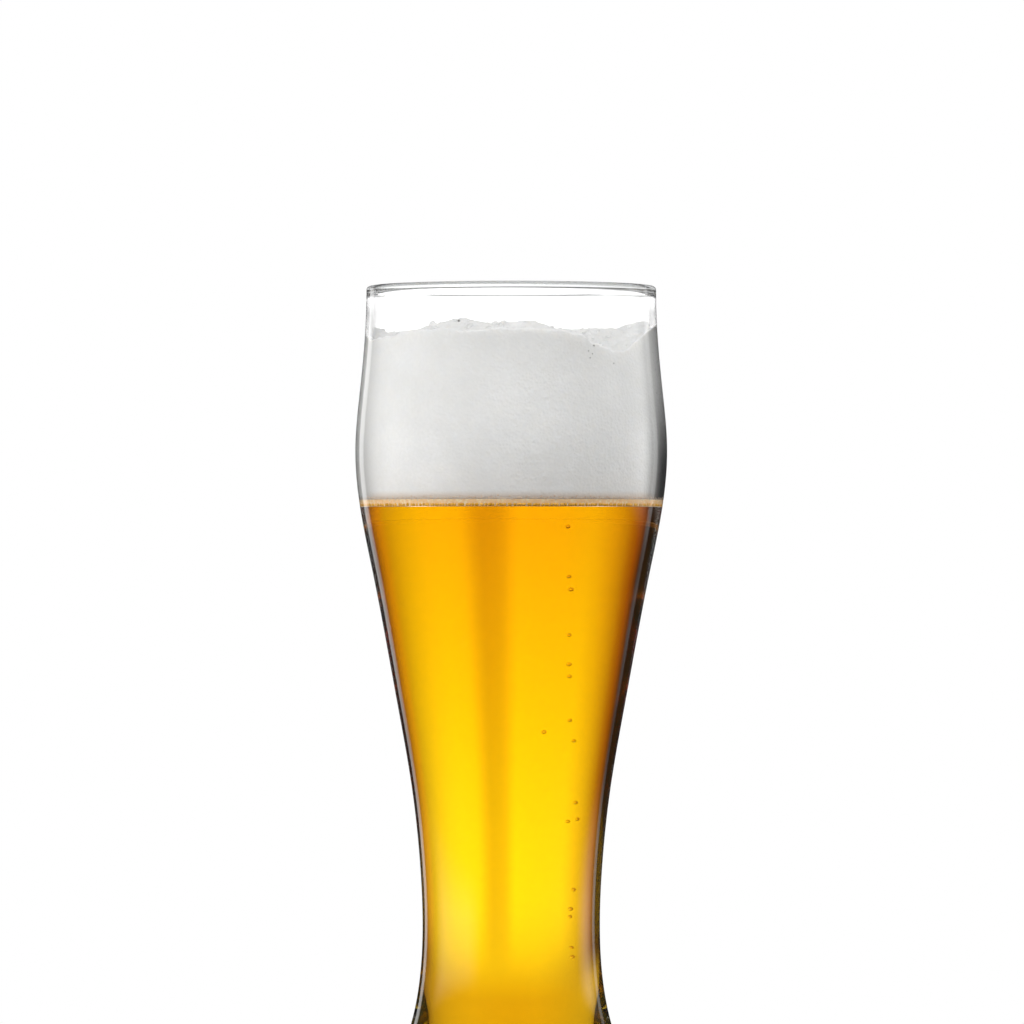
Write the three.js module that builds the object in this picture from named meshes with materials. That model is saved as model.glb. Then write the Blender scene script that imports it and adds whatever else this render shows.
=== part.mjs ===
// A pint of beer in a tall wheat-beer glass, in millimetres, with +Z up.
// The origin is the middle of the foot's underside. The glass is one clear turned wall with a swollen top
// and a narrow waist on a heavy foot. It holds the beer, a thin layer of beer-soaked bubbles and the head.

import * as THREE from "three";
import { ParametricGeometry } from "three/addons/geometries/ParametricGeometry.js";

// Driving dimensions of the glass, which holds a pint to the brim
const HEIGHT = 227.7;
const LIP_RADIUS = 38.35;
const LIP_BEAD = 1.7;
const LIP_WALL = 1.6;
const BULGE_HEIGHT = 184.5;
const BULGE_RADIUS = 41.3;
const BULGE_WALL = 2.5;
const WAIST_HEIGHT = 60;
const WAIST_RADIUS = 23.5;
const WAIST_WALL = 2.7;
const FOOT_RADIUS = 32.8;
const FOOT_SIDE_HEIGHT = 6.5;
const FOOT_EDGE = 2.2;
const FOOT_RING_RADIUS = 20;
const FOOT_HOLLOW = 1.8;

// The round floor inside the glass is a quarter of an ellipse
const FLOOR_HEIGHT = 12;
const FLOOR_BEND_HEIGHT = 26;
const FLOOR_RADIUS = 21.4;

// Levels of what is in the glass
const BEER_LEVEL = 169.5;
const SOAKED_LAYER = 1.6;
const HEAD_TOP = 215;
const CLEARANCE = 0.3;

// Height and radius of the wall between the foot and the lip, outside and inside
const LIP_HEIGHT = HEIGHT - LIP_BEAD / 2;
const OUTSIDE_STATIONS = [
  [FOOT_SIDE_HEIGHT, FOOT_RADIUS],
  [14, 32],
  [22.5, 29.7],
  [33, 26.35],
  [43, 24.4],
  [WAIST_HEIGHT, WAIST_RADIUS],
  [76, 24.25],
  [94, 26.2],
  [119, 30.5],
  [151, 36.5],
  [168, 39.85],
  [BULGE_HEIGHT, BULGE_RADIUS],
  [199, 40.2],
  [212, 38.95],
  [LIP_HEIGHT, LIP_RADIUS],
];
const INSIDE_STATIONS = [
  [FLOOR_BEND_HEIGHT, FLOOR_RADIUS],
  [WAIST_HEIGHT, WAIST_RADIUS - WAIST_WALL],
  [76, 21.55],
  [94, 23.5],
  [119, 27.9],
  [151, 34],
  [168, 37.35],
  [BULGE_HEIGHT, BULGE_RADIUS - BULGE_WALL],
  [199, 37.8],
  [212, 36.95],
  [LIP_HEIGHT, LIP_RADIUS - LIP_WALL],
];

// Rises and hollows of the head's top: where each is centred, how high it stands and how far it spreads
const HEAD_BUMPS = [
  { name: "crown", x: -13, y: -19, rise: 3.4, spread: 7 },
  { name: "second crown", x: 4, y: -27, rise: 2, spread: 5 },
  { name: "dip at the left", x: -31, y: -9, rise: -2.5, spread: 9 },
  { name: "climb up the left wall", x: -40, y: 0, rise: 2.8, spread: 5 },
  { name: "hollow at the right", x: 28, y: -27, rise: -5.6, spread: 7 },
  { name: "climb up the right wall", x: 40, y: 0, rise: 3, spread: 8 },
  { name: "rise at the back", x: 6, y: 24, rise: 1.2, spread: 10 },
  { name: "dip at the back", x: -17, y: 24, rise: -1.6, spread: 8 },
];

// How finely the round shapes are divided
const SEGMENTS = 48;
const OUTSIDE_STEPS = 31;
const INSIDE_STEPS = 25;
const BEER_STEPS = 19;
const LAYER_STEPS = 2;
const FLOOR_STEPS = 7;
const LIP_STEPS = 8;
const FOOT_STEPS = 4;
const HEAD_SIDE_ROWS = 7;
const HEAD_TOP_ROWS = 11;

// Passes after which the wall's curve and the head's edge have settled
const SPLINE_SWEEPS = 60;
const EDGE_PASSES = 3;

// A smooth curve through stations of [height, radius], upright at both ends: a clamped cubic spline
function smoothWall(stations) {
  const last = stations.length - 1;
  const span = (i) => stations[i + 1][0] - stations[i][0];
  const steepness = (i) => (stations[i + 1][1] - stations[i][1]) / span(i);
  const slopes = stations.map(() => 0);
  for (let sweep = 0; sweep < SPLINE_SWEEPS; sweep += 1) {
    for (let i = 1; i < last; i += 1) {
      const below = 1 / span(i - 1);
      const above = 1 / span(i);
      const pull = 3 * (steepness(i - 1) * below + steepness(i) * above);
      slopes[i] = (pull - slopes[i - 1] * below - slopes[i + 1] * above) / (2 * (below + above));
    }
  }
  return (height) => {
    const next = stations.findIndex(([station]) => station >= height);
    const i = Math.min(Math.max(next - 1, 0), last - 1);
    const t = (height - stations[i][0]) / span(i);
    const [low, high] = [stations[i][1], stations[i + 1][1]];
    const bend = t * (1 - t) * span(i);
    const share = t * t * (3 - 2 * t);
    return low + (high - low) * share + bend * ((1 - t) * slopes[i] - t * slopes[i + 1]);
  };
}

const outsideRadius = smoothWall(OUTSIDE_STATIONS);
const wallInside = smoothWall(INSIDE_STATIONS);

// Radius of the space in the glass at a height, from the round floor up to the lip
function insideRadius(height) {
  if (height >= FLOOR_BEND_HEIGHT) {
    return wallInside(height);
  }
  const drop = (FLOOR_BEND_HEIGHT - height) / (FLOOR_BEND_HEIGHT - FLOOR_HEIGHT);
  return FLOOR_RADIUS * Math.sqrt(Math.max(1 - drop * drop, 0));
}

// Points at even steps from 0 to 1
function steps(count, place) {
  return Array.from({ length: count + 1 }, (_, i) => place(i / count));
}

// The round floor as half an outline, from the axis outwards, kept a clearance inside the glass
function floorOutline(clearance) {
  const depth = FLOOR_BEND_HEIGHT - FLOOR_HEIGHT - clearance;
  const radius = FLOOR_RADIUS - clearance;
  return steps(FLOOR_STEPS, (t) => {
    const angle = (t * Math.PI) / 2;
    return new THREE.Vector2(radius * Math.sin(angle), FLOOR_BEND_HEIGHT - depth * Math.cos(angle));
  });
}

// The wall inside as half an outline between two heights, upwards, kept a clearance inside the glass
function insideOutline(from, to, count, clearance) {
  return steps(count, (t) => {
    const height = from + (to - from) * t;
    return new THREE.Vector2(insideRadius(height) - clearance, height);
  });
}

// The foot from the axis under the hollow, over the flat ring and round the edge
function footOutline() {
  const hollow = steps(FOOT_STEPS, (t) => {
    return new THREE.Vector2(t * FOOT_RING_RADIUS, FOOT_HOLLOW * (1 - t * t));
  });
  const edge = steps(FOOT_STEPS, (t) => {
    const angle = (t * Math.PI) / 2;
    const inset = FOOT_EDGE * (1 - Math.sin(angle));
    return new THREE.Vector2(FOOT_RADIUS - inset, FOOT_EDGE * (1 - Math.cos(angle)));
  });
  return [...hollow, ...edge];
}

// The rounded lip, from the outside over the top to where it meets the wall inside
function lipOutline() {
  const bead = LIP_BEAD / 2;
  const middle = LIP_RADIUS - bead;
  const wallInset = middle - (LIP_RADIUS - LIP_WALL);
  const sweep = Math.PI + Math.acos(wallInset / bead);
  return steps(LIP_STEPS, (t) => {
    const angle = t * sweep;
    return new THREE.Vector2(middle + bead * Math.cos(angle), LIP_HEIGHT + bead * Math.sin(angle));
  });
}

// A solid of revolution about the Z axis
function turned(name, outline, material) {
  const mesh = new THREE.Mesh(new THREE.LatheGeometry(outline, SEGMENTS), material);
  mesh.name = name;
  mesh.rotation.x = Math.PI / 2;
  return mesh;
}

function glass() {
  const outside = steps(OUTSIDE_STEPS, (t) => {
    const height = FOOT_SIDE_HEIGHT + (LIP_HEIGHT - FOOT_SIDE_HEIGHT) * t;
    return new THREE.Vector2(outsideRadius(height), height);
  });
  const lip = lipOutline();
  const lipFoot = lip[lip.length - 1].y;
  const inside = insideOutline(lipFoot, FLOOR_BEND_HEIGHT, INSIDE_STEPS, 0);
  const floor = floorOutline(0).reverse();
  const outline = [...footOutline(), ...outside, ...lip.slice(1), ...inside.slice(1), ...floor.slice(1)];
  const clear = new THREE.MeshStandardMaterial({
    color: 0xeaf1ee,
    roughness: 0.03,
    metalness: 0,
    transparent: true,
    opacity: 0.3,
  });
  return turned("glass", outline, clear);
}

function beer() {
  const sides = insideOutline(FLOOR_BEND_HEIGHT, BEER_LEVEL, BEER_STEPS, CLEARANCE);
  const outline = [...floorOutline(CLEARANCE), ...sides.slice(1), new THREE.Vector2(0, BEER_LEVEL)];
  const amber = new THREE.MeshStandardMaterial({ color: 0xf3b60a, roughness: 0.05, metalness: 0 });
  return turned("beer", outline, amber);
}

function soakedLayer() {
  const bottom = BEER_LEVEL + CLEARANCE;
  const top = bottom + SOAKED_LAYER;
  const sides = insideOutline(bottom, top, LAYER_STEPS, CLEARANCE);
  const outline = [new THREE.Vector2(0, bottom), ...sides, new THREE.Vector2(0, top)];
  const peach = new THREE.MeshStandardMaterial({ color: 0xdfb27c, roughness: 0.4, metalness: 0 });
  return turned("soaked_layer", outline, peach);
}

// Height of the head's lumpy top
function headHeight(x, y) {
  const lift = (bump) => {
    const away = (x - bump.x) ** 2 + (y - bump.y) ** 2;
    return bump.rise * Math.exp(-away / (2 * bump.spread ** 2));
  };
  return HEAD_BUMPS.reduce((height, bump) => height + lift(bump), HEAD_TOP);
}

// Height and radius at which the head's top meets the wall, seen from the axis at an angle
function headEdge(angle) {
  let height = HEAD_TOP;
  let radius = 0;
  for (let pass = 0; pass < EDGE_PASSES; pass += 1) {
    radius = insideRadius(height) - CLEARANCE;
    height = headHeight(radius * Math.cos(angle), radius * Math.sin(angle));
  }
  return { height, radius };
}

function head() {
  const bottom = BEER_LEVEL + SOAKED_LAYER + 2 * CLEARANCE;
  const rows = 1 + HEAD_SIDE_ROWS + HEAD_TOP_ROWS;
  const place = (u, v, target) => {
    const angle = 2 * Math.PI * u;
    const row = v * rows;
    const edge = headEdge(angle);
    const up = Math.min(Math.max((row - 1) / HEAD_SIDE_ROWS, 0), 1);
    const inwards = Math.max((row - 1 - HEAD_SIDE_ROWS) / HEAD_TOP_ROWS, 0);
    const sideHeight = bottom + (edge.height - bottom) * up;
    const sideRadius = up < 1 ? insideRadius(sideHeight) - CLEARANCE : edge.radius;
    const radius = sideRadius * Math.min(row, 1) * (1 - inwards);
    const x = radius * Math.cos(angle);
    const y = radius * Math.sin(angle);
    target.set(x, y, inwards > 0 ? headHeight(x, y) : sideHeight);
  };
  const geometry = new ParametricGeometry(place, SEGMENTS, rows);
  const foam = new THREE.MeshStandardMaterial({ color: 0xe8e8e3, roughness: 0.9, metalness: 0 });
  const mesh = new THREE.Mesh(geometry, foam);
  mesh.name = "head";
  return mesh;
}

const pint = new THREE.Group();
pint.add(glass(), beer(), soakedLayer(), head());

export default pint;
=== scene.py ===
"""A pint of pale beer with a deep head of foam in a tall wheat-beer glass, lit from behind in a white studio.

The smooth glass, the beer, the soaked layer of bubbles under the head and the head itself replace the frame's
solids. Bubbles in the beer, round the soaked layer and on the head are extra pieces. Sizes are in millimetres
unless a name or a comment says otherwise.
"""

import math
import random

import bmesh
import bpy
import numpy as np
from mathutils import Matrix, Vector, noise


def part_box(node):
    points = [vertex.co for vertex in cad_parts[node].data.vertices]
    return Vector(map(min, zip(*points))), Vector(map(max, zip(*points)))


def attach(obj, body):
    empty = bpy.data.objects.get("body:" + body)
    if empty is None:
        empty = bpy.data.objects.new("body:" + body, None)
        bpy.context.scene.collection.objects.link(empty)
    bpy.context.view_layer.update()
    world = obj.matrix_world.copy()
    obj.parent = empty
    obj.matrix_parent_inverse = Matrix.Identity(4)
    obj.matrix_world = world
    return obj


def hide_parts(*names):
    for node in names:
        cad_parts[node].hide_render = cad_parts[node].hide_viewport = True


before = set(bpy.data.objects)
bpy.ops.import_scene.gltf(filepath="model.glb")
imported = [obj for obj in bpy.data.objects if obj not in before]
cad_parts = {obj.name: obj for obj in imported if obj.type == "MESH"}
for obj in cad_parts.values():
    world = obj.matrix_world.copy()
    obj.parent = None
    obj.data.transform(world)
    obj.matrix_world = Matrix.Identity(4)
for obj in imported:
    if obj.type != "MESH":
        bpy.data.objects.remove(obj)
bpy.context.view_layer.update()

MM = 0.001

# The glass, to the sizes of its solid but with a fuller bead at the lip
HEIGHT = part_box("glass")[1][2] / MM
LIP_RADIUS = 38.35
LIP_BEAD = 2
LIP_WALL = 1.6
LIP_HEIGHT = HEIGHT - LIP_BEAD / 2
BULGE_HEIGHT = 184.5
BULGE_RADIUS = 41.3
BULGE_WALL = 2.5
WAIST_HEIGHT = 60
WAIST_RADIUS = 23.5
WAIST_WALL = 2.7
FOOT_RADIUS = 32.8
FOOT_SIDE_HEIGHT = 6.5
FOOT_EDGE = 2.2
FOOT_RING_RADIUS = 20
FOOT_HOLLOW = 1.8
FLOOR_HEIGHT = 12
FLOOR_BEND_HEIGHT = 26
FLOOR_RADIUS = 21.4

# Height and radius of the wall between the foot and the lip, outside and inside
OUTSIDE_STATIONS = [
    (FOOT_SIDE_HEIGHT, FOOT_RADIUS),
    (14, 32),
    (22.5, 29.7),
    (33, 26.35),
    (43, 24.4),
    (WAIST_HEIGHT, WAIST_RADIUS),
    (76, 24.25),
    (94, 26.2),
    (119, 30.5),
    (151, 36.5),
    (168, 39.85),
    (BULGE_HEIGHT, BULGE_RADIUS),
    (199, 40.2),
    (212, 38.95),
    (LIP_HEIGHT, LIP_RADIUS),
]
INSIDE_STATIONS = [
    (FLOOR_BEND_HEIGHT, FLOOR_RADIUS),
    (WAIST_HEIGHT, WAIST_RADIUS - WAIST_WALL),
    (76, 21.55),
    (94, 23.5),
    (119, 27.9),
    (151, 34),
    (168, 37.35),
    (BULGE_HEIGHT, BULGE_RADIUS - BULGE_WALL),
    (199, 37.8),
    (212, 36.95),
    (LIP_HEIGHT, LIP_RADIUS - LIP_WALL),
]

# Levels of what is in the glass, the head's being an average
BEER_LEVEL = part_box("beer")[1][2] / MM
LAYER_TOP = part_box("soaked_layer")[1][2] / MM
HEAD_TOP = 215

# Rises and hollows of the head's top: centre across and away, how high it stands and how far it spreads
HEAD_BUMPS = [
    (-13, -19, 3.4, 7),
    (4, -27, 2, 5),
    (-31, -9, -2.5, 9),
    (-40, 0, 2.8, 5),
    (28, -27, -5.6, 7),
    (40, 0, 3, 8),
    (6, 24, 1.2, 10),
    (-17, 24, -1.6, 8),
]

# Lumps on the head's top: how many there are to a millimetre and how high they are
TOP_LUMPS = [(0.16, 0.7), (0.42, 0.5), (1.1, 0.25)]

# How far the beer and the foam reach into the wall, so that no air shows between them, and how far bubbles do
FILL_REACH = 0.05
BUBBLE_REACH = 0.13
SURFACE_BUBBLE_REACH = 0.28

# The film of air between the beer and the soaked layer, and the size of the pieces' sharp corners
SURFACE_FILM = 0.05
CORNER = 0.03

# How finely the round pieces are divided: steps round the axis, and rows along each stretch of their outlines
GLASS_SEGMENTS = 256
FOAM_SEGMENTS = 384
HOLLOW_ROWS = 24
FOOT_EDGE_ROWS = 12
OUTSIDE_ROWS = 150
LIP_ROWS = 28
INSIDE_ROWS = 125
FLOOR_ROWS = 30
BEER_SIDE_ROWS = 130
BEER_TOP_ROWS = 12
LAYER_ROWS = 12
HEAD_SIDE_ROWS = 90
HEAD_TOP_ROWS = 130
BALL_SUBDIVISIONS = 2

# How often the search for the head's edge goes to and fro between its top and the wall
HEAD_EDGE_ROUNDS = 4

# Bubbles in the beer, as places across and up, their radius and how flat they are
BEER_BUBBLES = [
    (11.3, 165.9), (11.5, 152.8), (11.9, 149.3), (11.5, 137), (11.5, 129.2), (11.6, 126), (11.7, 114.3),
    (6.5, 111.2), (12.5, 108.8), (12.9, 92), (13.3, 87.5), (11.3, 86.9), (12.5, 68.4), (11.9, 63.2),
    (11.8, 61.1), (12.1, 52.6), (12.3, 50),
]
BEER_BUBBLE_RADIUS = (0.48, 0.6)
BEER_BUBBLE_FLATNESS = 0.92

# Open bubbles in the front of the head: place across and up, and radius
OPEN_BUBBLES = [
    (21, 211, 0.55), (19.6, 209.6, 0.26), (20.6, 208.9, 0.22), (20, 207.8, 0.2),
    (-13.4, 217.4, 0.3), (26, 206.5, 0.2),
]

# Bubbles on the head's top: most are small, and they sit a share of their radius deep, clear of the wall
TOP_BUBBLES = 420
TOP_BUBBLE_RADIUS = (0.2, 1.1)
TOP_BUBBLE_BIAS = 3
TOP_BUBBLE_DEPTH = 0.25
TOP_BUBBLE_FLATNESS = 0.9
TOP_BUBBLE_CLEARANCE = 0.5

# Bubbles against the wall at the head's right, spread by degrees round
WALL_BUBBLES = 60
WALL_BUBBLE_RADIUS = (0.18, 0.34)
WALL_BUBBLE_HEIGHTS = (198, 217)
WALL_BUBBLE_SPREAD = 7

# Bubbles round the top of the soaked layer, a little above it on average, and round the beer's surface
LAYER_DOTS = 380
LAYER_DOT_RADIUS = (0.3, 0.5)
LAYER_DOT_RISE = 0.3
LAYER_DOT_SPREAD = 0.25
SURFACE_BUBBLES = 330
SURFACE_BUBBLE_RADIUS = (0.4, 0.52)

# How strongly each clear thing bends light, the grey painted into the lip's colour as shade for its dark
# lines, and how the beer colours light
GLASS_BEND = 1.5
BEER_BEND = 1.34
BUBBLE_BEND = 1.33
BEER_BUBBLE_BEND = 1.1
LIP_PAINTED_SHADE = (0.7, 0.71, 0.71)
BEER_COLOUR = (0.959, 0.884, 0.0625, 1)
BEER_DENSITY = 160

# Colours of the foam and of its pits, the warm light from the beer below painted into it, and how far up from
# the soaked layer that light is painted
FOAM_DARK = (0.86, 0.86, 0.85)
FOAM_LIGHT = (0.9, 0.9, 0.89)
FOAM_PITS = (0.62, 0.62, 0.6)
PIT_SHARE = 0.12
PAINTED_BEER_GLOW = (0.74, 0.6, 0.48)
BEER_GLOW_SHARE = 0.85
BEER_GLOW_RISE = 2.5

# Slants at which the painted shade on the foam's side starts and at which it is full
LIMB_SLANT = (0.2, 0.28)

# Painted shades on the foam's side at its left and right, standing in for the wall's dark reflections and the
# shadow at its right, and the heights over which they fade to a share
PAINTED_LIMB_SHADE_LEFT = (0.55, 0.55, 0.54)
PAINTED_LIMB_SHADE_RIGHT = (0.06, 0.06, 0.06)
LIMB_HEIGHTS = (178, 205)
LIMB_ABOVE = 0.5

# How far up a face of the foam may look and still belong to its side
SIDE_UPWARDS = 0.4

# Colours of the soaked layer, and of the small bubbles from dark to light
WET_FILMS = (1, 0.78, 0.52)
WET_HOLLOWS = (0.97, 0.62, 0.33)
BEER_BUBBLE_COLOURS = ((0.85, 0.68, 0.3), (0.95, 0.8, 0.45))
TOP_BUBBLE_COLOURS = ((0.86, 0.86, 0.85), (0.95, 0.95, 0.94))
# The open bubbles' dark colours are painted shade for their hollows, not a colour of their own
OPEN_BUBBLE_PAINTED_SHADES = ((0.15, 0.15, 0.14), (0.35, 0.35, 0.33))
LAYER_DOT_COLOURS = ((0.72, 0.54, 0.42), (0.84, 0.68, 0.52))
SURFACE_BUBBLE_COLOURS = ((0.6, 0.29, 0.02), (0.95, 0.52, 0.1))
TOP_BUBBLE_CLEARNESS = 0.12

# Values that smooth noise mostly keeps between, and between which the soaked layer's cells change colour
NOISE_SPAN = (0.3, 0.7)
WET_CELL_SPAN = (0.1, 0.6)

# The camera, in metres but for its sensor
CAMERA_DISTANCE = 1.508
CAMERA_ACROSS = 0.0002
EYE_HEIGHT = 0.1679
FRAME_WIDTH = 0.2714
SENSOR = 36

# The studio seen through the glass: degrees round from straight behind it to its right, brightness and warmth
BACKLIGHT = 2.1
WARM_TINT = (1, 0.42, 0.4)

# Round the horizon
HORIZON = [
    (-180, 0.9), (-90, 0.9), (-76, 0.3, 0.5), (-68, 0.05, 0.8), (-62, 0.02), (-45, 0.02, 1), (-41, 0.17, 1),
    (-38, 0.27, 1), (-34, 0.36, 0.75), (-24, 0.68, 0.25), (-17, 0.85), (-10, 0.92), (-1, 1), (2, 0.74, 0.1),
    (6, 0.7, 0.15), (10, 0.95), (15, 0.95), (21, 0.85), (35, 0.56, 0.25), (40, 0.58, 0.6), (45, 0.46, 0.7),
    (50, 0.28, 0.8), (54, 0.1, 1), (57, 0.02, 1), (74, 0.02), (82, 0.4), (90, 0.9), (180, 0.9),
]

# Below the horizon, through the beer
LOWER = [
    (-180, 0.8, 0.15), (-90, 0.75, 0.2), (-76, 0.3, 0.5), (-66, 0.05, 0.8), (-46, 0.05, 1), (-40, 0.13, 0.9),
    (-34, 0.25, 0.6), (-24, 0.5, 0.3), (-8, 0.72, 0.1), (12, 0.72, 0.1), (24, 0.6, 0.15), (35, 0.44, 0.35),
    (45, 0.24, 0.8), (54, 0.06, 1), (70, 0.04), (84, 0.5, 0.3), (95, 0.75, 0.2), (180, 0.8, 0.15),
]

# Still lower, through the beer
DEEP = [
    (-180, 0.64, 0.3), (-90, 0.6, 0.35), (-66, 0.42, 0.45), (-45, 0.48, 0.4), (-22, 0.5, 0.35),
    (-8, 0.6, 0.35), (12, 0.6, 0.35), (24, 0.5, 0.4), (45, 0.32, 0.6), (66, 0.22, 0.7), (90, 0.55, 0.4),
    (180, 0.64, 0.3),
]

# High above the horizon, and below it through glass alone
UPPER_SHADE = 0.05
CLEAR_SHADE = 0.42

# Degrees above the horizon between which one zone of light passes into the next
UPPER_EDGE = (14, 24)
LOWER_EDGE = (-12, -1)
DEEP_EDGE = (-18, -7)

# Light that has passed fewer surfaces than this hasn't crossed the beer
BEER_CROSSINGS = 5

# Light that a wall threw back towards the viewer's side, and how much of it counts after it crossed the beer
FRONT_SHADE = 0.02
BEER_SHARE = 0.6

# Where the viewer's side ends: how far a direction points away from the viewer, and degrees above the horizon
FRONT_EDGE = (0.3, 0.65)
FRONT_TOP = (-4.5, -2.5)

# Light that the foot threw back upwards, and the degrees above the horizon at which it starts
FOOT_SHADE = 0.36
FOOT_RISE = (8, 13)

# Light that reaches the foam, by degrees round and from above, and the degrees up between which it changes
AMBIENT = [(-180, 0.56), (-120, 0.68), (-60, 0.64), (0, 0.5), (50, 0.5), (130, 0.55), (180, 0.57)]
AMBIENT_TOP = 0.12
AMBIENT_EDGE = (5, 35)

# What the glass mirrors: brightness by degrees round, and the degrees above the horizon at which it ends
MIRRORED_LIGHT = 3
MIRRORED = [
    (-180, 0.01), (-140, 0.01), (-122, 0.3), (-82, 0.3), (-66, 0.01), (-40, 0.01), (-37, 0.45), (-29, 0.45),
    (-26, 0.005), (40, 0.005), (43, 0.3), (48, 0.3), (51, 0.02), (65, 0.4), (71, 0.4), (86, 0.02),
    (180, 0.01),
]
MIRRORED_TOP = (3, 10)
MIRRORED_BOTTOM = (-12, -5)

# Where the pale floor starts to fade into the white round it and where it has faded, in metres, and its look
FLOOR_FADE = (0.08, 0.33)
FLOOR_SHADE = 0.85
FLOOR_ROUGHNESS = 0.6
FLOOR_SIDES = 96

# Lights: degrees round from straight behind the glass, metres away and up, width and height in metres, watts
FOAM_LIGHTS = {
    "key_light": (-118, 1.6, 0.6, 0.8, 0.8, 20),
    "fill_light": (112, 1.4, 1.1, 0.8, 0.8, 19),
    "top_light": (-150, 0.3, 1.6, 0.6, 0.6, 5.5),
    "back_light": (20, 1.6, 0.6, 0.8, 0.8, 14),
}
FLOOR_LIGHT = (0, 0.01, 1.5, 1.2, 1.2, 36)

SEED = 7
draw = random.Random(SEED)


# Curves

def smooth_wall(stations):
    """A curve of radius by height through the stations, upright at both ends: a clamped cubic spline."""
    heights, radii = np.array(stations, float).T
    span = np.diff(heights)
    steepness = np.diff(radii) / span
    system = np.eye(len(heights))
    pull = np.zeros(len(heights))
    for i in range(1, len(heights) - 1):
        system[i, i - 1:i + 2] = 1 / span[i - 1], 2 / span[i - 1] + 2 / span[i], 1 / span[i]
        pull[i] = 3 * (steepness[i - 1] / span[i - 1] + steepness[i] / span[i])
    slopes = np.linalg.solve(system, pull)

    def radius(height):
        i = np.clip(np.searchsorted(heights, height) - 1, 0, len(span) - 1)
        t = (height - heights[i]) / span[i]
        bend = t * (1 - t) * span[i]
        share = t * t * (3 - 2 * t)
        level = radii[i] + (radii[i + 1] - radii[i]) * share
        return level + bend * ((1 - t) * slopes[i] - t * slopes[i + 1])

    return radius


outside_radius = smooth_wall(OUTSIDE_STATIONS)
wall_inside = smooth_wall(INSIDE_STATIONS)


def inside_radius(height):
    """Radius of the space in the glass at a height, from the round floor up to the lip."""
    height = np.asarray(height, float)
    drop = np.clip((FLOOR_BEND_HEIGHT - height) / (FLOOR_BEND_HEIGHT - FLOOR_HEIGHT), 0, 1)
    floor = FLOOR_RADIUS * np.sqrt(1 - drop * drop)
    return np.where(height < FLOOR_BEND_HEIGHT, floor, wall_inside(height))


def floor_heights():
    """Heights on the round floor at even angles, from the axis up to the bend."""
    angles = np.linspace(0, math.pi / 2, FLOOR_ROWS)
    return FLOOR_BEND_HEIGHT - (FLOOR_BEND_HEIGHT - FLOOR_HEIGHT) * np.cos(angles)


def lumps(points, sizes):
    """Smooth noise at points, summed over sizes given as how many to a millimetre and how high."""
    points = np.asarray(points, float)
    total = np.zeros(len(points))
    for often, height in sizes:
        total += height * np.array([noise.noise(Vector(point)) for point in points * often])
    return total


def head_height(x, y):
    """Height of the head's lumpy top."""
    flat = np.stack([np.ravel(x), np.ravel(y), np.zeros(np.size(x))], axis=1)
    height = HEAD_TOP + lumps(flat, TOP_LUMPS).reshape(np.shape(x))
    for across, away, stands, spread in HEAD_BUMPS:
        height = height + stands * np.exp(-((x - across) ** 2 + (y - away) ** 2) / (2 * spread ** 2))
    return height


# Meshes

def new_piece(name, vertices, faces, material, replaced=None):
    """A smooth-shaded piece of the object, with its vertices in millimetres."""
    mesh = bpy.data.meshes.new(name)
    mesh.from_pydata((np.asarray(vertices) * MM).tolist(), [], faces)
    mesh.polygons.foreach_set("use_smooth", [True] * len(mesh.polygons))
    mesh.materials.append(material)
    mesh.update()
    piece = bpy.data.objects.new(name, mesh)
    bpy.context.scene.collection.objects.link(piece)
    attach(piece, "root")
    if replaced:
        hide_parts(replaced)
    return piece


def skin(radii, heights):
    """A closed skin round the axis from rows of radii and heights, the first and last of them on the axis."""
    rows, segments = radii.shape
    angles = np.arange(segments) * 2 * math.pi / segments
    rings = np.stack([radii * np.cos(angles), radii * np.sin(angles), heights], axis=-1)[1:-1].reshape(-1, 3)
    poles = np.array([[0, 0, heights[0].mean()], [0, 0, heights[-1].mean()]])
    vertices = np.concatenate([rings, poles])
    start, end = len(rings), len(rings) + 1
    here = np.arange(segments)
    after = np.roll(here, -1)
    top = (rows - 3) * segments
    faces = [(start, b, a) for a, b in zip(here.tolist(), after.tolist())]
    for row in range(rows - 3):
        low = row * segments
        quads = np.stack([low + here, low + after, low + segments + after, low + segments + here], axis=1)
        faces += quads.tolist()
    faces += [(end, top + a, top + b) for a, b in zip(here.tolist(), after.tolist())]
    return vertices, faces


def turned(outline, segments):
    """A solid of revolution from points of radius and height."""
    radii, heights = np.array(outline, float).T
    spread = np.ones(segments)
    return skin(np.outer(radii, spread), np.outer(heights, spread))


def arc(centre, radius, start, end, count):
    """Points on an arc between two angles in degrees."""
    angles = np.radians(np.linspace(start, end, count))
    return [(centre[0] + radius * math.cos(a), centre[1] + radius * math.sin(a)) for a in angles]


def balls(places):
    """Many small balls as one mesh, from their centres and their sizes along X, Y and Z."""
    shape = bmesh.new()
    bmesh.ops.create_icosphere(shape, subdivisions=BALL_SUBDIVISIONS, radius=1)
    corners = np.array([vertex.co for vertex in shape.verts])
    sides = np.array([[vertex.index for vertex in face.verts] for face in shape.faces])
    shape.free()
    vertices = [corners * size + centre for centre, size in places]
    faces = [sides + len(corners) * i for i in range(len(places))]
    return np.concatenate(vertices), np.concatenate(faces).tolist()


# Materials

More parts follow.
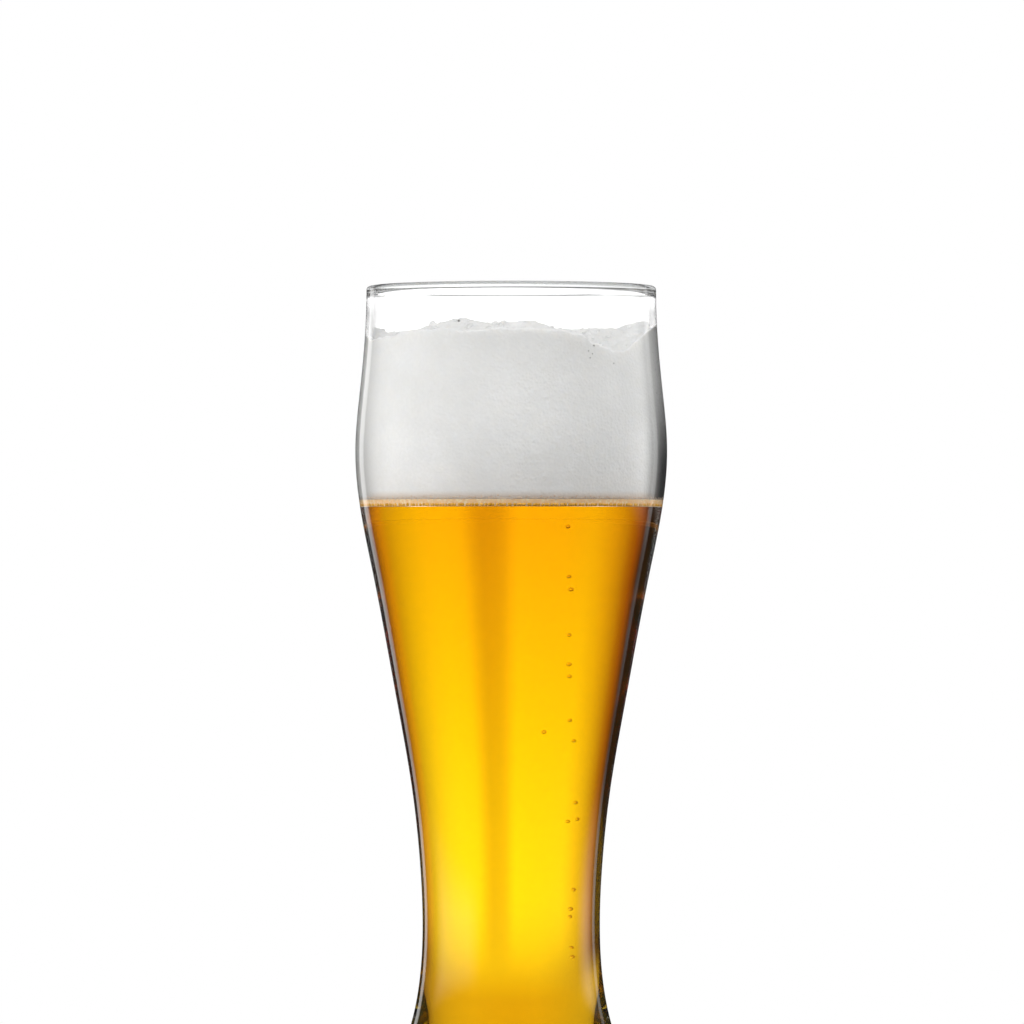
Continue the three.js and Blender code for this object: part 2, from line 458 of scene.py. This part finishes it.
class Graph:
    """The nodes of a material or world, with a short way to add and join them."""

    def __init__(self, tree):
        self.nodes = tree.nodes
        self.links = tree.links

    def set(self, node, inputs):
        """Sets a node's inputs to values, or joins them to other nodes' outputs."""
        for name, value in inputs.items():
            if isinstance(value, bpy.types.NodeSocket):
                self.links.new(value, node.inputs[name])
            else:
                node.inputs[name].default_value = value

    def add(self, kind, inputs, **settings):
        node = self.nodes.new("ShaderNode" + kind)
        for name, value in settings.items():
            setattr(node, name, value)
        self.set(node, inputs)
        return node

    def place(self):
        return self.add("TexCoord", {}).outputs["Object"]

    def parts(self, vector):
        """The X, Y and Z of a vector."""
        return self.add("SeparateXYZ", {"Vector": vector}).outputs

    def noise(self, per_metre, detail=2):
        """Smooth noise, with so many lumps to a metre."""
        inputs = {"Vector": self.place(), "Scale": per_metre, "Detail": detail}
        return self.add("TexNoise", inputs).outputs["Fac"]

    def cells(self, per_metre):
        """Distance from the middles of round cells, so many to a metre."""
        return self.add("TexVoronoi", {"Vector": self.place(), "Scale": per_metre}).outputs["Distance"]

    def range(self, value, start, end, low, high):
        """Carries a value from the range start to end over to the range low to high."""
        ends = {"From Min": start, "From Max": end, "To Min": low, "To Max": high}
        node = self.add("MapRange", {"Value": value, **ends}, interpolation_type="SMOOTHSTEP")
        return node.outputs["Result"]

    def patches(self, per_metre, low, high, detail=2):
        """Smooth noise carried over to the range low to high."""
        return self.range(self.noise(per_metre, detail), *NOISE_SPAN, low, high)

    def mix(self, share, first, second):
        """Mixes two colours, each a socket or red, green and blue."""
        node = self.add("Mix", {"Factor": share}, data_type="RGBA")
        for name, value in (("A", first), ("B", second)):
            socket = next(s for s in node.inputs if s.name == name and s.type == "RGBA")
            if isinstance(value, bpy.types.NodeSocket):
                self.links.new(value, socket)
            else:
                socket.default_value = (*value, 1)
        return next(s for s in node.outputs if s.type == "RGBA")

    def times(self, first, second):
        node = self.add("Math", {}, operation="MULTIPLY")
        for socket, value in zip(node.inputs, (first, second)):
            self.links.new(value, socket)
        return node.outputs[0]

    def bump(self, height, depth, normal=None):
        """Relief from a height, as deep as a number of millimetres, on top of other relief."""
        inputs = {"Height": height, "Strength": 1, "Distance": depth * MM}
        if normal:
            inputs["Normal"] = normal
        return self.add("Bump", inputs).outputs["Normal"]

    def below(self, value, limit):
        """1 where a value is below a limit, and 0 elsewhere."""
        node = self.add("Math", {}, operation="LESS_THAN")
        self.links.new(value, node.inputs[0])
        node.inputs[1].default_value = limit
        return node.outputs[0]

    def light(self, colour, strength):
        return self.add("Background", {"Color": colour, "Strength": strength}).outputs[0]

    def either(self, share, first, second):
        """Mixes two shaders."""
        node = self.add("MixShader", {"Fac": share})
        self.links.new(first, node.inputs[1])
        self.links.new(second, node.inputs[2])
        return node.outputs[0]


def new_material(name):
    """A node material with its graph and its Principled shader."""
    material = bpy.data.materials.new(name)
    material.use_nodes = True
    return material, Graph(material.node_tree), material.node_tree.nodes["Principled BSDF"]


def clear_glass():
    """Clear glass with a faint ripple, and painted shade in the lip's colour that darkens its lines."""
    material, graph, shader = new_material("clear_glass")
    height = graph.parts(graph.place())["Z"]
    # Mask for the painted shade at the lip, which greys the light that passes through the bead
    lip = graph.range(height, (LIP_HEIGHT - LIP_BEAD) * MM, LIP_HEIGHT * MM, 0, 1)
    graph.set(shader, {
        "Base Color": graph.mix(lip, (1, 1, 1), LIP_PAINTED_SHADE),
        "Roughness": 0,
        "IOR": GLASS_BEND,
        "Transmission Weight": 1,
        "Normal": graph.bump(graph.noise(per_metre=70, detail=1), depth=0.03),
    })
    return material


def pale_beer():
    """Clear golden beer, deeper in colour the further light goes through it."""
    material, graph, shader = new_material("pale_beer")
    graph.set(shader, {
        "Base Color": (1, 1, 1, 1),
        "Roughness": 0,
        "IOR": BEER_BEND,
        "Transmission Weight": 1,
        "Normal": graph.bump(graph.noise(per_metre=50, detail=1), depth=0.04),
    })
    body = graph.add("VolumeAbsorption", {"Color": BEER_COLOUR, "Density": BEER_DENSITY})
    graph.set(graph.nodes["Material Output"], {"Volume": body.outputs["Volume"]})
    return material


def foam_white():
    """Fine white foam, with painted warm light from the beer just above the soaked layer and painted shade at
    its sides.
    """
    material, graph, shader = new_material("foam")
    clouds = graph.mix(graph.patches(per_metre=90, low=0, high=1, detail=4), FOAM_DARK, FOAM_LIGHT)
    grains = graph.mix(graph.patches(per_metre=1500, low=0, high=PIT_SHARE), clouds, FOAM_PITS)
    height = graph.parts(graph.place())["Z"]
    # Painted warm light from the beer below, fading out a little way above the soaked layer
    beer_glow = graph.range(height, LAYER_TOP * MM, (LAYER_TOP + BEER_GLOW_RISE) * MM, BEER_GLOW_SHARE, 0)
    # Painted shade at the foam's sides, standing in for the wall's dark reflections and the shadow at its
    # right
    limb_shade_share, painted_limb_shade = paint_limb_shade(graph, height)
    relief = graph.bump(graph.noise(per_metre=500), depth=0.2)
    graph.set(shader, {
        "Base Color": graph.mix(limb_shade_share, graph.mix(beer_glow, grains, PAINTED_BEER_GLOW), painted_limb_shade),
        "Roughness": graph.patches(per_metre=700, low=0.45, high=0.75),
        "Subsurface Weight": 1,
        "Subsurface Radius": (1, 0.97, 0.92),
        "Subsurface Scale": 2 * MM,
        "Normal": graph.bump(graph.cells(per_metre=1300), depth=0.12, normal=relief),
    })
    return material


def paint_limb_shade(graph, height):
    """Where the foam's side is seen at a slant through the wall, and the painted shade put in its colour
    there, darker at the right, for the wall's dark reflections and the shadow on that side.
    """
    facing = graph.add("LayerWeight", {"Blend": 0.5}).outputs["Facing"]
    upwards = graph.parts(graph.add("NewGeometry", {}).outputs["Normal"])["Z"]
    across = graph.parts(graph.place())["X"]
    low, high = (level * MM for level in LIMB_HEIGHTS)
    share = graph.times(graph.range(facing, *LIMB_SLANT, 0, 1), graph.below(upwards, SIDE_UPWARDS))
    share = graph.times(share, graph.range(height, low, high, 1, LIMB_ABOVE))
    rightwards = graph.range(across, -LIP_RADIUS * MM, LIP_RADIUS * MM, 0, 1)
    return share, graph.mix(rightwards, PAINTED_LIMB_SHADE_LEFT, PAINTED_LIMB_SHADE_RIGHT)


def wet_foam():
    """Wet films of beer round small hollows."""
    material, graph, shader = new_material("wet_foam")
    hollows = graph.range(graph.cells(per_metre=1000), *WET_CELL_SPAN, 0, 1)
    graph.set(shader, {
        "Base Color": graph.mix(hollows, WET_FILMS, WET_HOLLOWS),
        "Roughness": graph.patches(per_metre=900, low=0.2, high=0.5),
        "Subsurface Weight": 0.4,
        "Subsurface Radius": (1, 0.9, 0.8),
        "Subsurface Scale": 1 * MM,
        "Normal": graph.bump(graph.cells(per_metre=1000), depth=0.12),
    })
    return material


def bubble_skin(name, colours, clearness=0, bend=BUBBLE_BEND):
    """Small bubbles between two colours, as clear as a share, that bend light."""
    material, graph, shader = new_material(name)
    graph.set(shader, {
        "Base Color": graph.mix(graph.patches(per_metre=600, low=0, high=1), *colours),
        "Roughness": graph.patches(per_metre=1200, low=0.08, high=0.3),
        "IOR": bend,
        "Transmission Weight": clearness,
    })
    return material


# Glass and what fills it

def make_glass():
    across = np.linspace(0, FOOT_RING_RADIUS, HOLLOW_ROWS)
    hollow = [(r, FOOT_HOLLOW * (1 - (r / FOOT_RING_RADIUS) ** 2)) for r in across]
    edge = arc((FOOT_RADIUS - FOOT_EDGE, FOOT_EDGE), FOOT_EDGE, -90, 0, FOOT_EDGE_ROWS)
    outside = [(outside_radius(z), z) for z in np.linspace(FOOT_SIDE_HEIGHT, LIP_HEIGHT, OUTSIDE_ROWS)]
    bead = LIP_BEAD / 2
    middle = LIP_RADIUS - bead
    wall_inset = middle - (LIP_RADIUS - LIP_WALL)
    sweep = 180 + math.degrees(math.acos(wall_inset / bead))
    lip = arc((middle, LIP_HEIGHT), bead, 0, sweep, LIP_ROWS)
    inside = [(inside_radius(z), z) for z in np.linspace(lip[-1][1], FLOOR_BEND_HEIGHT, INSIDE_ROWS)]
    floor = [(inside_radius(z), z) for z in floor_heights()[::-1]]
    outline = hollow + edge + outside + lip[1:] + inside[1:] + floor[1:]
    vertices, faces = turned(outline, GLASS_SEGMENTS)
    new_piece("clear_glass", vertices, faces, clear_glass(), "glass")


def make_beer():
    floor = [(inside_radius(z) + FILL_REACH, z - FILL_REACH) for z in floor_heights()[1:]]
    heights = [*np.linspace(FLOOR_BEND_HEIGHT, BEER_LEVEL - CORNER, BEER_SIDE_ROWS), BEER_LEVEL]
    sides = [(inside_radius(z) + FILL_REACH, z) for z in heights]
    top = [(r, BEER_LEVEL) for r in np.linspace(sides[-1][0] - CORNER, 0, BEER_TOP_ROWS)]
    outline = [(0, FLOOR_HEIGHT - FILL_REACH)] + floor + sides[1:] + top
    vertices, faces = turned(outline, GLASS_SEGMENTS)
    new_piece("pale_beer", vertices, faces, pale_beer(), "beer")


def make_soaked_layer():
    low = BEER_LEVEL + SURFACE_FILM
    high = LAYER_TOP + CORNER
    rows = [low, *np.linspace(low + CORNER, high, LAYER_ROWS)]
    sides = [(inside_radius(z) + FILL_REACH, z) for z in rows]
    outline = [(0, low), (sides[0][0] - CORNER, low)] + sides + [(0, high)]
    vertices, faces = turned(outline, GLASS_SEGMENTS)
    return new_piece("soaked_bubbles", vertices, faces, wet_foam(), "soaked_layer")


def head_edge(angles):
    """Heights at which the head's lumpy top meets the wall, found by going to and fro between the two."""
    heights = np.full(len(angles), float(HEAD_TOP))
    for _ in range(HEAD_EDGE_ROUNDS):
        radii = inside_radius(heights) + FILL_REACH
        heights = head_height(radii * np.cos(angles), radii * np.sin(angles))
    return heights


def make_head():
    segments = FOAM_SEGMENTS
    angles = np.arange(segments) * 2 * math.pi / segments
    low = LAYER_TOP
    up = np.linspace(0, 1, HEAD_SIDE_ROWS)[:, None]
    side_heights = low + (head_edge(angles) - low) * up
    side_heights = np.concatenate([side_heights[:1], side_heights[:1] + CORNER, side_heights[1:]])
    side_radii = inside_radius(side_heights) + FILL_REACH
    inwards = np.linspace(1, 0, HEAD_TOP_ROWS)[1:, None]
    top_radii = side_radii[-1] * inwards
    top_heights = head_height(top_radii * np.cos(angles), top_radii * np.sin(angles))
    bottom_radii = np.stack([np.zeros(segments), side_radii[0] - CORNER])
    radii = np.concatenate([bottom_radii, side_radii, top_radii])
    heights = np.concatenate([np.full((2, segments), low), side_heights, top_heights])
    vertices, faces = skin(radii, heights)
    return new_piece("foam_head", vertices, faces, foam_white(), "head")


# Bubbles

def between(limits, bias=1):
    """A random number between limits, near the low one where the bias is above 1."""
    return limits[0] + (limits[1] - limits[0]) * draw.random() ** bias


def at_wall(angle, height, size, reach=BUBBLE_REACH):
    """Centre of a bubble of a size that reaches a little into the wall at an angle and a height."""
    radius = float(inside_radius(height)) + reach - size
    return np.array([radius * math.cos(angle), radius * math.sin(angle), height])


def make_beer_bubbles():
    """Clear bubbles that rise through the beer."""
    places = []
    for across, height in BEER_BUBBLES:
        size = between(BEER_BUBBLE_RADIUS)
        places.append(((across, 0, height), size * np.array([1, 1, BEER_BUBBLE_FLATNESS])))
    vertices, faces = balls(places)
    material = bubble_skin("beer_bubbles", BEER_BUBBLE_COLOURS, clearness=1, bend=BEER_BUBBLE_BEND)
    new_piece("beer_bubbles", vertices, faces, material)


def make_top_bubbles():
    """Pale bubbles scattered over the head's top."""
    places = []
    while len(places) < TOP_BUBBLES:
        x, y = (between((-LIP_RADIUS, LIP_RADIUS)) for _ in range(2))
        size = between(TOP_BUBBLE_RADIUS, TOP_BUBBLE_BIAS)
        if math.hypot(x, y) > LIP_RADIUS - LIP_WALL - TOP_BUBBLE_CLEARANCE - size:
            continue
        height = float(head_height(np.array([x]), np.array([y]))[0])
        centre = (x, y, height - size * TOP_BUBBLE_DEPTH)
        places.append((centre, np.array([size, size, size * TOP_BUBBLE_FLATNESS])))
    vertices, faces = balls(places)
    material = bubble_skin("top_bubbles", TOP_BUBBLE_COLOURS, TOP_BUBBLE_CLEARNESS)
    return new_piece("top_bubbles", vertices, faces, material)


def make_open_bubbles():
    """Bubbles in the front of the head and against the wall at its right, coloured dark as painted shade."""
    places = []
    for across, height, size in OPEN_BUBBLES:
        angle = -math.acos(across / float(inside_radius(height)))
        places.append((at_wall(angle, height, size), np.full(3, size)))
    for _ in range(WALL_BUBBLES):
        size = between(WALL_BUBBLE_RADIUS)
        angle = math.radians(draw.gauss(0, WALL_BUBBLE_SPREAD))
        places.append((at_wall(angle, between(WALL_BUBBLE_HEIGHTS), size), np.full(3, size)))
    vertices, faces = balls(places)
    material = bubble_skin("open_bubbles", OPEN_BUBBLE_PAINTED_SHADES)
    return new_piece("open_bubbles", vertices, faces, material)


def make_layer_dots():
    """Small brown bubbles round the top of the soaked layer."""
    places = []
    for i in range(LAYER_DOTS):
        size = between(LAYER_DOT_RADIUS)
        angle = (i + draw.random()) * 2 * math.pi / LAYER_DOTS
        height = LAYER_TOP + LAYER_DOT_RISE + draw.gauss(0, LAYER_DOT_SPREAD)
        places.append((at_wall(angle, height, size), np.full(3, size)))
    vertices, faces = balls(places)
    material = bubble_skin("layer_dots", LAYER_DOT_COLOURS)
    return new_piece("layer_dots", vertices, faces, material)


def make_surface_bubbles():
    """Golden-brown bubbles in a row round the beer's surface."""
    places = []
    for i in range(SURFACE_BUBBLES):
        size = between(SURFACE_BUBBLE_RADIUS)
        angle = (i + draw.random()) * 2 * math.pi / SURFACE_BUBBLES
        centre = at_wall(angle, BEER_LEVEL + SURFACE_FILM + size, size, SURFACE_BUBBLE_REACH)
        places.append((centre, np.full(3, size)))
    vertices, faces = balls(places)
    material = bubble_skin("surface_bubbles", SURFACE_BUBBLE_COLOURS)
    return new_piece("surface_bubbles", vertices, faces, material)


# Studio

def ramp(graph, way, stops):
    """Light by degrees round from straight behind the glass, of a brightness and, where given, a warmth."""
    azimuth = graph.add("Math", {}, operation="ARCTAN2")
    graph.links.new(way["X"], azimuth.inputs[0])
    graph.links.new(way["Y"], azimuth.inputs[1])
    turn = graph.add("MapRange", {"Value": azimuth.outputs[0], "From Min": -math.pi, "From Max": math.pi})
    node = graph.add("ValToRGB", {"Fac": turn.outputs["Result"]})
    elements = node.color_ramp.elements
    while len(elements) < len(stops):
        elements.new(0.5)
    for element, (degrees, bright, *warmth) in zip(elements, stops):
        element.position = (degrees + 180) / 360
        element.color = [bright * (1 + (tint - 1) * sum(warmth)) for tint in WARM_TINT] + [1]
    return node.outputs["Color"]


def rise(graph, way, edge):
    """Passes from 0 to 1 as a direction goes up between two elevations in degrees."""
    start, end = (math.sin(math.radians(degrees)) for degrees in edge)
    return graph.range(way["Z"], start, end, 0, 1)


def grey(shade):
    return (shade, shade, shade)


def passed_light(graph, way, path):
    """The studio seen through the glass, in zones by height, and darker where a wall threw light back."""
    shallow = graph.below(path["Transmission Depth"], BEER_CROSSINGS)
    low = graph.mix(rise(graph, way, DEEP_EDGE), ramp(graph, way, DEEP), ramp(graph, way, LOWER))
    low = graph.mix(shallow, low, grey(CLEAR_SHADE))
    bright = graph.mix(rise(graph, way, LOWER_EDGE), low, ramp(graph, way, HORIZON))
    bright = graph.mix(rise(graph, way, UPPER_EDGE), bright, grey(UPPER_SHADE))
    neutral = graph.add("RGBToBW", {"Color": bright}).outputs["Val"]
    bright = graph.mix(shallow, bright, neutral)
    away = graph.times(graph.range(way["Y"], *FRONT_EDGE, 0, 1), rise(graph, way, FRONT_TOP))
    back = graph.mix(away, grey(FRONT_SHADE), bright)
    back = graph.mix(graph.times(shallow, rise(graph, way, FOOT_RISE)), back, grey(FOOT_SHADE))
    thrown_back = graph.times(graph.range(shallow, 0, 1, BEER_SHARE, 1), path["Glossy Depth"])
    return graph.mix(thrown_back, bright, back)


def mirrored_light(graph, way):
    """The studio that the glass mirrors, which is dark above and below."""
    bright = graph.mix(rise(graph, way, MIRRORED_BOTTOM), grey(0), ramp(graph, way, MIRRORED))
    return graph.mix(rise(graph, way, MIRRORED_TOP), bright, grey(0))


def make_world():
    """White for the camera, and for other light the studio that it would meet."""
    world = bpy.data.worlds.new("studio")
    bpy.context.scene.world = world
    world.use_nodes = True
    graph = Graph(world.node_tree)
    way = graph.parts(graph.add("TexCoord", {}).outputs["Generated"])
    path = graph.add("LightPath", {}).outputs
    passed = graph.light(passed_light(graph, way, path), BACKLIGHT)
    mirrored = graph.light(mirrored_light(graph, way), MIRRORED_LIGHT)
    ambient = graph.mix(rise(graph, way, AMBIENT_EDGE), ramp(graph, way, AMBIENT), grey(AMBIENT_TOP))
    mirrored_last = graph.times(path["Is Glossy Ray"], path["Is Reflection Ray"])
    light = graph.either(mirrored_last, passed, mirrored)
    light = graph.either(graph.below(path["Diffuse Depth"], 1), graph.light(ambient, 1), light)
    light = graph.either(path["Is Camera Ray"], light, graph.light((1, 1, 1, 1), 1))
    graph.links.new(light, graph.nodes["World Output"].inputs["Surface"])


def make_floor():
    """A pale disc that fades into the white round it, and that isn't seen through the glass."""
    rim = FLOOR_FADE[1]
    angles = np.arange(FLOOR_SIDES) * 2 * math.pi / FLOOR_SIDES
    corners = [(rim * math.cos(a), rim * math.sin(a), 0) for a in angles]
    mesh = bpy.data.meshes.new("floor")
    mesh.from_pydata(corners, [], [list(range(FLOOR_SIDES))])
    material, graph, shader = new_material("floor")
    away = graph.add("VectorMath", {0: graph.place()}, operation="LENGTH").outputs["Value"]
    graph.set(shader, {
        "Base Color": (*grey(FLOOR_SHADE), 1),
        "Roughness": FLOOR_ROUGHNESS,
        "Alpha": graph.range(away, *FLOOR_FADE, 1, 0),
    })
    mesh.materials.append(material)
    floor = bpy.data.objects.new("floor", mesh)
    floor.visible_transmission = False
    floor.visible_glossy = False
    bpy.context.scene.collection.objects.link(floor)
    return floor


def add_light(name, place, aim, lit, shading):
    """A soft light that doesn't show itself, turned towards a height on the axis."""
    round_degrees, away, up, width, height, watts = place
    data = bpy.data.lights.new(name, "AREA")
    data.shape = "RECTANGLE"
    data.size = width
    data.size_y = height
    data.energy = watts
    lamp = bpy.data.objects.new(name, data)
    across = math.radians(round_degrees)
    lamp.location = (away * math.sin(across), away * math.cos(across), up)
    way = lamp.location - Vector((0, 0, aim * MM))
    lamp.rotation_euler = way.to_track_quat("Z", "Y").to_euler()
    lamp.visible_camera = False
    lamp.visible_glossy = False
    lamp.visible_transmission = False
    lamp.light_linking.receiver_collection = lit
    lamp.light_linking.blocker_collection = shading
    bpy.context.scene.collection.objects.link(lamp)


def make_lights(foam_pieces, floor):
    """Lights on the foam, which the clear glass doesn't shade, and on the floor."""
    lit_foam = bpy.data.collections.new("lit_foam")
    for piece in foam_pieces:
        lit_foam.objects.link(piece)
    lit_floor = bpy.data.collections.new("lit_floor")
    lit_floor.objects.link(floor)
    middle = (LAYER_TOP + HEAD_TOP) / 2
    for name, place in FOAM_LIGHTS.items():
        add_light(name, place, middle, lit_foam, lit_foam)
    add_light("floor_light", FLOOR_LIGHT, 0, lit_floor, lit_foam)


def make_camera():
    data = bpy.data.cameras.new("camera")
    data.sensor_width = SENSOR
    data.lens = SENSOR * CAMERA_DISTANCE / FRAME_WIDTH
    camera = bpy.data.objects.new("camera", data)
    camera.location = (CAMERA_ACROSS, -CAMERA_DISTANCE, EYE_HEIGHT)
    camera.rotation_euler = (math.pi / 2, 0, 0)
    bpy.context.scene.collection.objects.link(camera)
    bpy.context.scene.camera = camera


def set_render():
    """Plain colours, and enough bounces for light to pass the glass, the beer and the foam."""
    scene = bpy.context.scene
    scene.view_settings.view_transform = "Standard"
    scene.cycles.max_bounces = 32
    scene.cycles.transmission_bounces = 32
    scene.cycles.glossy_bounces = 12
    scene.cycles.diffuse_bounces = 6
    scene.cycles.transparent_max_bounces = 16


make_glass()
make_beer()
make_beer_bubbles()
foam_pieces = [
    make_soaked_layer(),
    make_head(),
    make_top_bubbles(),
    make_open_bubbles(),
    make_layer_dots(),
    make_surface_bubbles(),
]
make_world()
make_lights(foam_pieces, make_floor())
make_camera()
set_render()
